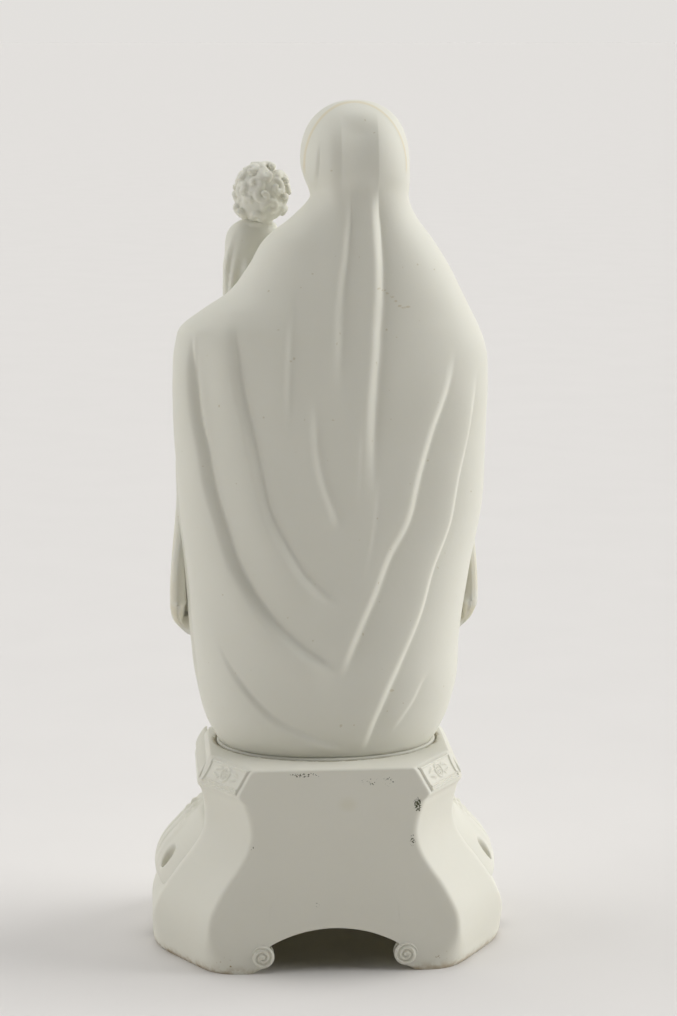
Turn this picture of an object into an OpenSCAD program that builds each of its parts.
// Madonna and child in unglazed porcelain, standing in the seat of a separate scrolled plinth.
// The statue faces -Y. +X is the mother's left, where the child sits. The origin is on the floor
// under the middle of the plinth.

/* [Plinth] */
// Width over the scroll feet
plinth_w = 168; // [140:1:210]
// Depth, from the flat back to the front feet
plinth_d = 118; // [100:1:150]
// Height to the top face
plinth_h = 98; // [80:1:120]
// Wall of the hollow plinth
plinth_wall = 5; // [4:0.5:7]
// Thickness of the top under the seat
plinth_roof = 7; // [6:0.5:10]
// Width of the arch between the feet, front and back
arch_w = 56; // [40:1:64]
// Height of the arch at its crown
arch_h = 21.5; // [17:0.5:28]
// Height at which the arch springs from the foot scrolls
arch_spring = 13.5; // [10:0.5:15]
// Width of the low arch in each side
side_arch_w = 24; // [16:1:28]
// Height of the low arch in each side
side_arch_h = 10; // [6:0.5:14]
// Radius of the vent hole in the top
vent_r = 9; // [6:0.5:12]

/* [Seat] */
// Depth of the recess that the statue stands in
seat_depth = 2; // [1.5:0.25:3]
// Clearance all round the statue's slab in the recess
seat_gap = 0.6; // [0.4:0.1:1.5]
// Least rim of the plinth's top at the two sides of the recess
side_rim = 3.4; // [2:0.2:8]
// Rim of the plinth's top in front of the recess
front_rim = 6.6; // [4:0.2:12]

/* [Statue] */
// Height of the statue alone, slab included
figure_h = 304; // [250:1:370]
// Width of the mantle where it is widest
mantle_w = 149; // [130:1:180]
// Depth of the mantle, from its back to the line of the arms
mantle_d = 42; // [36:1:48]
// Thickness of the slab under the statue
slab_t = 4; // [3:0.5:6]
// How far the slab shows round the foot of the mantle
slab_edge = 1.2; // [0.6:0.1:3]
// How far the statue's middle stands behind the plinth's middle
figure_y = 3; // [0:0.5:4]
// Wall of the mantle
mantle_wall = 3; // [2.5:0.25:4]
// Wall of the hollow robe
robe_wall = 3.5; // [3:0.25:5]
// Radius of the drain hole in the slab
drain_r = 7; // [5:0.5:9]

/* [Relief] */
// Thickness of the corner rosettes
rosette_t = 1.6; // [1:0.1:2.5]
// Radius of the corner rosettes
rosette_r = 6.5; // [5:0.5:8]
// Width of the front cartouche
cartouche_w = 52; // [40:1:60]
// Height of the front cartouche
cartouche_h = 40; // [34:1:44]
// How far the front cartouche stands out
cartouche_t = 3.6; // [3:0.1:6]
// Radius of the small scroll at each end of the arches
foot_scroll_r = 5.6; // [4:0.1:7]
// Thickness of the small scrolls
foot_scroll_t = 1.2; // [0.8:0.1:2]
// Length of each side scroll, front to back
scroll_l = 26; // [20:1:30]
// Thickness of the band of each side scroll
scroll_t = 3; // [2.5:0.25:4]

/* [Hidden] */
$fn = 24;
bisque = [0.93, 0.92, 0.87];

corner_slope = 1.5;     // run of a corner face in Y for each unit in X
front_share = 0.5;      // how much of the side's swelling the front has
seat_z = plinth_h - seat_depth;
foot_half_w = 51.6;     // half width and half depth of the statue at its foot, on the nominal statue
foot_half_d = 39.6;
k = figure_h / 304;     // scale of the statue's heads, hands and limbs
kx = mantle_w / 149;
ky = mantle_d / 42;
slab_w = 2 * (foot_half_w * kx + slab_edge);
slab_d = 2 * (foot_half_d * ky + slab_edge);
bed = 2;                // how far a sprig reaches behind its own back before it is cut to the wall

// ---------- curves and lofts ----------
function row(t, x, i = 0) = (i >= len(t) - 2 || x < t[i + 1][0]) ? i : row(t, x, i + 1);
function slope(t, i, c) = i <= 0 || i >= len(t) - 1 ? 0
    : (t[i + 1][c] - t[i - 1][c]) / (t[i + 1][0] - t[i - 1][0]);
// A smooth curve through column c of the table t, read at x.
function curve(t, x, c = 1) = let (i = row(t, x), h = t[i + 1][0] - t[i][0],
    u = max(0, min(1, (x - t[i][0]) / h)), m0 = slope(t, i, c) * h, m1 = slope(t, i + 1, c) * h)
    t[i][c] * (2 * u ^ 3 - 3 * u ^ 2 + 1) + m0 * (u ^ 3 - 2 * u ^ 2 + u)
    + t[i + 1][c] * (3 * u ^ 2 - 2 * u ^ 3) + m1 * (u ^ 3 - u ^ 2);
function power(v, e) = sign(v) * pow(abs(v), e);
function ellipse(rx, ry, n = 56) = [for (i = [0:n - 1]) [rx * cos(360 * i / n), ry * sin(360 * i / n)]];

// A closed solid through rings of the same number of points, each ring anticlockwise from above.
module loft(rings) {
    n = len(rings[0]);
    m = len(rings);
    polyhedron(points = [for (r = rings) each r], faces = concat(
        [[for (j = [0:n - 1]) j]], [[for (j = [n - 1:-1:0]) (m - 1) * n + j]],
        [for (i = [0:m - 2]) for (j = [0:n - 1]) let (a = i * n + j, b = i * n + (j + 1) % n)
            each [[a, b + n, b], [a, a + n, b + n]]]), convexity = 8);
}
// A tube wall between outer rings and inner rings, open at both ends.
module tube(outer, inner) {
    n = len(outer[0]);
    m = len(outer);
    s = m * n;
    polyhedron(points = concat([for (r = outer) each r], [for (r = inner) each r]), faces = concat(
        [for (i = [0:m - 2]) for (j = [0:n - 1]) let (a = i * n + j, b = i * n + (j + 1) % n)
            each [[a, b + n, b], [a, a + n, b + n], [s + a, s + b, s + b + n], [s + a, s + b + n, s + a + n]]],
        [for (j = [0:n - 1]) let (b = (j + 1) % n, t = (m - 1) * n)
            each [[j, s + b, s + j], [j, b, s + b], [t + j, s + t + b, t + b], [t + j, s + t + j, s + t + b]]]),
        convexity = 10);
}
module limb(points, radii) {
    for (i = [0:len(points) - 2]) hull() {
        translate(points[i]) sphere(radii[i], $fn = 20);
        translate(points[i + 1]) sphere(radii[i + 1], $fn = 20);
    }
}
module swelling(points, radii) {
    hull() for (i = [0:len(points) - 1]) translate(points[i]) sphere(radii[i], $fn = 20);
}
module mirrored(side) { mirror([side < 0 ? 1 : 0, 0, 0]) children(); }
// A casting cut back to the faces of the neighbours that it is luted to: first child less all the others.
module luted() {
    color(bisque) resize([0, 0, 0]) difference() {
        children(0);
        children([1:$children - 1]);
    }
}

// ---------- plinth ----------
// Height share, half width of the flat back and half width over the sides, in mm on the nominal plinth
plinth_outline = [[0, 55, 82.5], [0.08, 57.5, 84], [0.18, 58.5, 84], [0.27, 57.5, 81], [0.35, 54, 76.5],
    [0.43, 49.5, 71], [0.51, 44, 65], [0.59, 39.8, 60.5], [0.67, 38.2, 58.7], [0.75, 39.6, 59.6],
    [0.80, 42, 61.6], [0.83, 43.8, 62.6], [0.87, 43.9, 62], [0.92, 41.5, 59.4], [0.96, 39, 57.6], [1, 37, 56.8]];
// The foot of the plinth follows its own width and depth; the top follows the statue's slab.
function rise(u) = let (t = max(0, min(1, (u - 0.35) / 0.4))) t * t * (3 - 2 * t);
top_side = slab_w / 2 + seat_gap + side_rim;
top_front = slab_d / 2 + seat_gap + front_rim - figure_y;
function nominal_front(u) = 59 - front_share * (84 - curve(plinth_outline, u, 2));
function spread(u) = (1 - rise(u)) * plinth_w / 168 + rise(u) * top_side / curve(plinth_outline, 1, 2);
function half_back(u) = curve(plinth_outline, u, 1) * spread(u);
function half_side(u) = curve(plinth_outline, u, 2) * spread(u);
function half_front(u) = nominal_front(u)
    * ((1 - rise(u)) * plinth_d / 118 + rise(u) * top_front / nominal_front(1));
// The eight corners of the plinth at a height, drawn in by a wall.
function plinth_ring(u, z, wall) = let (w = half_side(u) - wall, p = half_back(u) - 0.54 * wall,
    b = plinth_d / 2 - wall, f = half_front(u) - wall, cb = b - corner_slope * (w - p), cf = f - corner_slope * (w - p))
    [[w, -cf, z], [w, cb, z], [p, b, z], [-p, b, z], [-w, cb, z], [-w, -cf, z], [-p, -f, z], [p, -f, z]];
plinth_steps = [0, 0.04, 0.1, 0.18, 0.27, 0.35, 0.43, 0.51, 0.59, 0.67, 0.75, 0.8, 0.83, 0.87, 0.92, 0.96, 1];

module arch_cut(width, spring, crown) {
    rise = crown - spring;
    r = (width * width / 4 + rise * rise) / (2 * rise);
    rotate([90, 0, 0]) linear_extrude(height = 2 * plinth_d, center = true) {
        translate([-width / 2, -1]) square([width, spring + 1]);
        intersection() {
            translate([0, crown - r]) circle(r, $fn = 96);
            translate([-width / 2, spring - 0.01]) square([width, rise + 1]);
        }
    }
}
module plinth_block() { loft([for (u = plinth_steps) plinth_ring(u, u * plinth_h, 0)]); }
module plinth_shell() {
    color(bisque) difference() {
        plinth_block();
        difference() {
            loft([for (u = plinth_steps) plinth_ring(u, u * (plinth_h + 1) - 1, plinth_wall)]);
            translate([-plinth_w, -plinth_d, plinth_h - plinth_roof]) cube([2 * plinth_w, 2 * plinth_d, plinth_h]);
        }
        arch_cut(arch_w, arch_spring, arch_h);
        translate([-plinth_w, -side_arch_w / 2, -1]) cube([2 * plinth_w, side_arch_w, side_arch_h + 1]);
        translate([0, figure_y, seat_z]) linear_extrude(seat_depth + 1)
            polygon(ellipse(slab_w / 2 + seat_gap, slab_d / 2 + seat_gap));
        translate([0, figure_y, 0]) cylinder(r = vent_r, h = plinth_h + 1);
    }
}

// The C scroll on each side: a band that leaves the waist, swings out and turns in over the foot.
scroll_line = [[58.5, 61], [64.5, 58.5], [71.5, 53], [76.8, 46.5], [79, 39], [78.6, 32], [76.5, 28.5]];
function along(pts, t) = let (rows = [for (i = [0:len(pts) - 1]) [i, pts[i][0], pts[i][1]]])
    [curve(rows, t, 1), curve(rows, t, 2)];
function normal_at(pts, t) = let (a = along(pts, max(0, t - 0.1)), b = along(pts, min(len(pts) - 1, t + 0.1)),
    d = b - a) [d[1], -d[0]] / norm(d);
module side_scroll(side) {
    steps = [for (t = [0:0.5:len(scroll_line) - 1]) t];
    outer = [for (t = steps) along(scroll_line, t) - normal_at(scroll_line, t) * scroll_t / 2];
    inner = [for (i = [len(steps) - 1:-1:0]) along(scroll_line, steps[i])
        + normal_at(scroll_line, steps[i]) * scroll_t / 2];
    luted() {
        mirrored(side) translate([0, scroll_l / 2 - 9, 0]) rotate([90, 0, 0])
            linear_extrude(scroll_l)
                polygon([for (q = concat(outer, inner)) [q[0] * spread(q[1] / 98), q[1] * plinth_h / 98]]);
        plinth_block();
    }
}

// The rosette on each chamfered corner of the top moulding, seated on the leaning corner face.
rosette_u = 0.915;
module rosette(side, rear) {
    w = half_side(rosette_u);
    p = half_back(rosette_u);
    y = rear ? plinth_d / 2 : -half_front(rosette_u);
    run = corner_slope * (w - p);
    lean = atan2((half_back(0.87) - half_back(0.96)) * cos(atan(1 / corner_slope)), 0.09 * plinth_h);
    luted() {
        mirrored(side) translate([(w + p) / 2, rear ? y - run / 2 : y + run / 2, rosette_u * plinth_h])
            rotate([0, 0, (rear ? 1 : -1) * atan(1 / corner_slope)]) rotate([0, 90 - lean, 0])
            translate([0, 0, -bed]) {
                cylinder(r = rosette_r, h = rosette_t + bed);
                cylinder(r = rosette_r / 3, h = rosette_t + bed + 0.6);
            }
        plinth_block();
    }
}
// The small scroll that ends the arch moulding over each foot.
module foot_scroll(side, rear) {
    z = foot_scroll_r + 0.9;
    y = rear ? plinth_d / 2 : half_front(z / plinth_h);
    luted() {
        mirrored(side) mirror([0, rear ? 0 : 1, 0]) translate([arch_w / 2 + foot_scroll_r, y, z])
            rotate([-90, 0, 0]) translate([0, 0, -bed]) {
                cylinder(r = foot_scroll_r, h = foot_scroll_t + bed);
                cylinder(r = foot_scroll_r / 3, h = foot_scroll_t + bed + 0.6);
            }
        plinth_block();
    }
}
module front_cartouche() {
    zc = plinth_h * 0.46;
    lean = atan2(half_front(0.3) - half_front(0.62), 0.32 * plinth_h);
    luted() {
        translate([0, -half_front(0.46), zc]) rotate([90 - lean, 0, 0]) translate([0, 0, -bed]) hull() {
            linear_extrude(bed + 1.5) polygon(ellipse(cartouche_w / 2, cartouche_h / 2, 32));
            linear_extrude(bed + cartouche_t) polygon(ellipse(cartouche_w / 3, cartouche_h / 3, 24));
        }
        plinth_block();
    }
}
module knee_leaf(side) {
    w = half_side(0.3);
    p = half_back(0.3);
    y = -half_front(0.3) + corner_slope * (w - p) / 2;
    luted() {
        mirrored(side) translate([(w + p) / 2, y, 0.3 * plinth_h]) rotate([0, 0, -atan(1 / corner_slope)]) hull() {
            translate([-9, 0, 19]) rotate([0, -22, 0]) cube([4, 5, 6], center = true);
            rotate([0, -22, 0]) translate([0.6, 0, 0]) cube([4, 15, 14], center = true);
            translate([2.2, 0, -12]) cube([3, 5, 5], center = true);
        }
        plinth_block();
    }
}

// ---------- statue ----------
module in_seat() { translate([0, figure_y, seat_z]) children(); }
function at(x, y, z) = [x * kx, y * ky, z * k];

module statue_slab() {
    color(bisque) in_seat() difference() {
        linear_extrude(slab_t) polygon(ellipse(slab_w / 2, slab_d / 2));
        translate([0, 0, -1]) cylinder(r = drain_r, h = slab_t + 2);
    }
}

// Mantle sections: height, left edge, right edge, back, depth of the front wrap, wrap angle
mantle_rows = [[4, foot_half_w, -foot_half_w, foot_half_d - 1, 34, 10],
    [14, 57.5, -57.5, 40.5, 34, 11], [26, 60.5, -61, 41.6, 34, 12],
    [50, 63.5, -62.5, 42, 34, 14], [85, 66.5, -67.5, 41, 34, 17], [120, 70, -74, 40, 36, 24],
    [155, 71.5, -76, 38, 38, 42], [175, 71.5, -76.5, 36.5, 36, 52], [192, 69, -75, 34.5, 32, 58],
    [200, 64, -72, 33.5, 31, 60], [208, 52, -68, 32, 29, 61], [216, 44, -64, 31, 27, 62], [228, 36, -58, 29, 24, 63],
    [242, 27, -49, 26, 20, 62], [250, 17, -43, 24, 18, 58], [257, 10, -39.7, 23.5, 17, 54]];
hood_c = [-14, -3, 276];   // middle of the hood
hood_r = [25, 28, 28];     // its half width, half depth and half height
chin_line = [-18, 257];    // where the hood's rim starts, in Y and Z
rim_angle = 90;            // how far the hood comes over the brow
rim_turn = 2.5;            // radius that the rim turns in at the chin
ring_n = 20;

function angles(wrap) = [for (i = [0:ring_n]) -wrap + (180 + 2 * wrap) * i / ring_n];
// One side of a C section: mid point, half width, back reach, front reach, direction of the back
function c_line(mid, a, rb, rf, dir, wrap, z_first) = [for (q = angles(wrap))
    let (c = cos(q), s = sin(q), d = s >= 0 ? rb * power(s, 0.9) : rf * power(s, 0.9))
    [mid[0] + a * power(c, 0.9), mid[1] + d * dir[0], mid[2] + d * dir[1]]];
function c_ring(mid, a, rb, rf, dir, wrap, t) = concat(c_line(mid, a, rb, rf, dir, wrap),
    [for (i = [ring_n:-1:0]) c_line(mid, a - t, rb - t, rf - t, dir, wrap)[i]]);
function body_c(z) = let (l = curve(mantle_rows, z, 1) * kx, r = curve(mantle_rows, z, 2) * kx)
    c_ring([(l + r) / 2, -2 * ky, z <= 4 ? slab_t : z * k], (l - r) / 2, (curve(mantle_rows, z, 3) + 2) * ky,
        curve(mantle_rows, z, 4) * ky, [1, 0], curve(mantle_rows, z, 5), mantle_wall);
function hood_mid(al) = let (d = [cos(al), sin(al)],
    s0 = (hood_c[1] - chin_line[0]) * d[0] + (hood_c[2] - chin_line[1]) * d[1]) chin_line + s0 * d;
function hood_ring(al) = let (d = [cos(al), sin(al)], m = hood_mid(al),
    off = norm(m - [hood_c[1], hood_c[2]]) / hood_r[1], round = sqrt(max(0.05, 1 - off * off)),
    s0 = norm(m - chin_line), wrap = 54 - 10 * al / rim_angle)
    c_ring([hood_c[0] * kx, m[0] * k, m[1] * k], hood_r[0] * (0.9 + 0.1 * round) * k,
        hood_r[1] * (0.35 + 0.65 * round) * k,
        (s0 - rim_turn) / power(sin(wrap), 0.9) * k, d, wrap, mantle_wall);
mantle_steps = [4, 9, 14, 26, 50, 68, 85, 102, 120, 138, 155, 165, 175, 185, 192, 198, 204, 208, 212];
hood_steps = [212, 220, 228, 236, 243, 250];
module mantle_skin() {
    in_seat() loft([for (z = mantle_steps) body_c(z)]);
}
module hood_skin() {
    in_seat() loft(concat([for (z = hood_steps) body_c(z)], [for (i = [1:9]) hood_ring(rim_angle * i / 9)]));
}
module mantle() { color(bisque) resize([0, 0, 0]) mantle_skin(); }
module hood() { color(bisque) resize([0, 0, 0]) hood_skin(); }
// The mantle with the space inside it filled, up to the shoulders.
module mantle_core() {
    in_seat() loft([for (z = [4, 14, 26, 50, 85, 120, 138]) [for (i = [0:ring_n]) body_c(z)[i]]]);
}

// Robe sections: height, middle in X, half width, back, front
robe_rows = [[4, 0, 47, 33, -37], [10, 0, 48, 34, -37.5], [50, 0, 50, 35, -36], [104, -1, 50, 34, -34],
    [140, -2, 44, 31, -31], [166, -3, 34, 28, -27], [190, -4, 35, 26, -27], [206, -6, 36, 24, -24],
    [222, -8, 32, 22, -19], [236, -10, 25, 18, -14], [246, -13, 14, 12, -11], [254, -13, 9.5, 8, -9.5]];
function robe_ring(z, t) = let (x = curve(robe_rows, z, 1) * kx, a = curve(robe_rows, z, 2) * kx - t,
    b = curve(robe_rows, z, 3) * ky - t, f = -curve(robe_rows, z, 4) * ky - t)
    [for (i = [0:43]) let (q = 360 * i / 44, c = cos(q), s = sin(q))
        [x + a * power(c, 0.92), s > 0 ? b * power(s, 0.92) : f * power(s, 0.92), z <= 4 ? slab_t : z * k]];
robe_steps = [4, 20, 50, 77, 104, 122, 140, 153, 166, 178, 190, 206, 214, 222, 229, 236, 241, 246, 250, 254];
module robe() {
    color(bisque) resize([0, 0, 0]) in_seat()
        tube([for (z = robe_steps) robe_ring(z, 0)], [for (z = robe_steps) robe_ring(z, robe_wall)]);
}
module robe_core() { in_seat() loft([for (z = robe_steps) robe_ring(z, 0)]); }

// The end of the mantle that hangs over each forearm.
module mantle_fall(side) {
    hem = [[69.5, -8, 62], [67, -16, 49], [60, -29, 54], [46, -38, 70]];
    luted() {
        in_seat() for (i = [0:2]) hull() for (q = [hem[i], hem[i + 1]]) {
            translate([q[0] * kx * side, q[1] * ky, q[2] * k]) sphere(3.8 * k, $fn = 16);
            translate([q[0] * kx * side, q[1] * ky, 132 * k]) sphere(3.4 * k, $fn = 16);
        }
        mantle_core();
        mantle_skin();
        hood_skin();
        robe_core();
    }
}
module shoe(side) {
    luted() {
        in_seat() translate([0, 0, slab_t]) intersection() {
            swelling([[15 * side * kx, -33 * ky, 2], [17 * side * kx, -37.2 * ky, 1.2]], [4.6, 3.4]);
            translate([-50, -80, 0]) cube([100, 80, 20]);
        }
        robe_core();
    }
}
module mother_head() {
    c = at(-13.5, -3, 278);
    luted() {
        in_seat() {
            hull() {
                translate(c) sphere(20.5 * k);
                translate(c + [0, -5, -3] * k) sphere(16 * k);
                translate(c + [0, -12, -14] * k) sphere(5.2 * k);
            }
            translate([-13 * kx, 0, 250 * k]) cylinder(r = 8.5 * k, h = 16 * k);
        }
        mantle_skin();
        hood_skin();
        robe_core();
    }
}
module sleeve_form(side) {
    pts = side > 0 ? [at(54, -12, 142), at(46, -30, 149), at(38, -41, 153)]
        : [at(-57, -12, 143), at(-42, -32, 152), at(-24, -42, 162)];
    in_seat() limb(pts, [9.5 * k, 9 * k, 7.5 * k]);
}
module sleeve(side) {
    luted() {
        sleeve_form(side);
        robe_core();
        mantle_skin();
        hood_skin();
        mantle_fall(side);
    }
}
module hand_form(side) {
    pts = side > 0 ? [at(38, -43, 153), at(29, -50, 154), at(20, -52, 155)]
        : [at(-22, -43, 163), at(-9, -48, 168), at(0, -49, 168)];
    in_seat() limb(pts, [4.6 * k, 4.8 * k, 3 * k]);
}
module mother_hand(side) {
    luted() {
        hand_form(side);
        sleeve_form(side);
    }
}

// ---------- child ----------
module child_trunk() {
    in_seat() {
        swelling([at(33, -40, 168), at(26, -43, 168), at(40, -39, 170), at(32, -38, 200)],
            [10.5 * k, 9 * k, 9 * k, 11 * k]);
        swelling([at(32, -38, 200), at(23, -38, 220), at(39, -36, 224), at(30.5, -36, 229)],
            [11 * k, 7 * k, 7 * k, 6.5 * k]);
        swelling([at(30.5, -36, 229), at(29.5, -36, 243)], [6.5 * k, 5.4 * k]);
    }
}
module child_body() {
    luted() {
        child_trunk();
        robe_core();
        mantle_skin();
        hood_skin();
        sleeve_form(1);
        hand_form(1);
    }
}
module child_head() {
    luted() {
        in_seat() swelling([at(28.5, -33, 262), at(28, -38, 257), at(28, -42, 252)], [13.2 * k, 11 * k, 5.5 * k]);
        child_trunk();
        mantle_skin();
        hood_skin();
    }
}
module child_arm(side) {
    pts = side > 0 ? [at(40.5, -38, 228), at(42, -43, 208), at(41, -51, 195), at(39, -53.5, 188)]
        : [at(20, -39, 222), at(10, -46, 206), at(6, -51, 216), at(5, -52, 224)];
    luted() {
        in_seat() limb(pts, [6 * k, 5 * k, 3.6 * k, 3.2 * k]);
        child_trunk();
        mantle_skin();
        hood_skin();
        robe_core();
    }
}
module leg_form(side) {
    pts = side > 0 ? [at(36, -46, 168), at(26, -53, 166), at(22, -50.5, 141), at(20, -53.5, 135)]
        : [at(26, -46, 168), at(9, -51.5, 169), at(4, -49, 145), at(2, -52.5, 139)];
    in_seat() limb(pts, [8 * k, 6.4 * k, 4 * k, 3.6 * k]);
}
module child_leg(side) {
    luted() {
        leg_form(side);
        child_trunk();
        hand_form(1);
        hand_form(-1);
        sleeve_form(1);
        robe_core();
        if (side < 0) leg_form(1);
    }
}

plinth_shell();
side_scroll(1);  // side_scroll_left
side_scroll(-1);  // side_scroll_right
rosette(1, true);  // rosette_rear_left
rosette(-1, true);  // rosette_rear_right
rosette(1, false);  // rosette_front_left
rosette(-1, false);  // rosette_front_right
foot_scroll(1, true);  // foot_scroll_rear_left
foot_scroll(-1, true);  // foot_scroll_rear_right
foot_scroll(1, false);  // foot_scroll_front_left
foot_scroll(-1, false);  // foot_scroll_front_right
front_cartouche();
knee_leaf(1);  // knee_leaf_left
knee_leaf(-1);  // knee_leaf_right
statue_slab();
robe();
mantle();
hood();
mantle_fall(1);  // mantle_fall_left
mantle_fall(-1);  // mantle_fall_right
shoe(1);  // shoe_left
shoe(-1);  // shoe_right
mother_head();
sleeve(1);  // sleeve_left
sleeve(-1);  // sleeve_right
mother_hand(1);  // mother_hand_left
mother_hand(-1);  // mother_hand_right
child_body();
child_head();
child_arm(1);  // child_arm_left
child_arm(-1);  // child_arm_right
child_leg(1);  // child_leg_left
child_leg(-1);  // child_leg_right
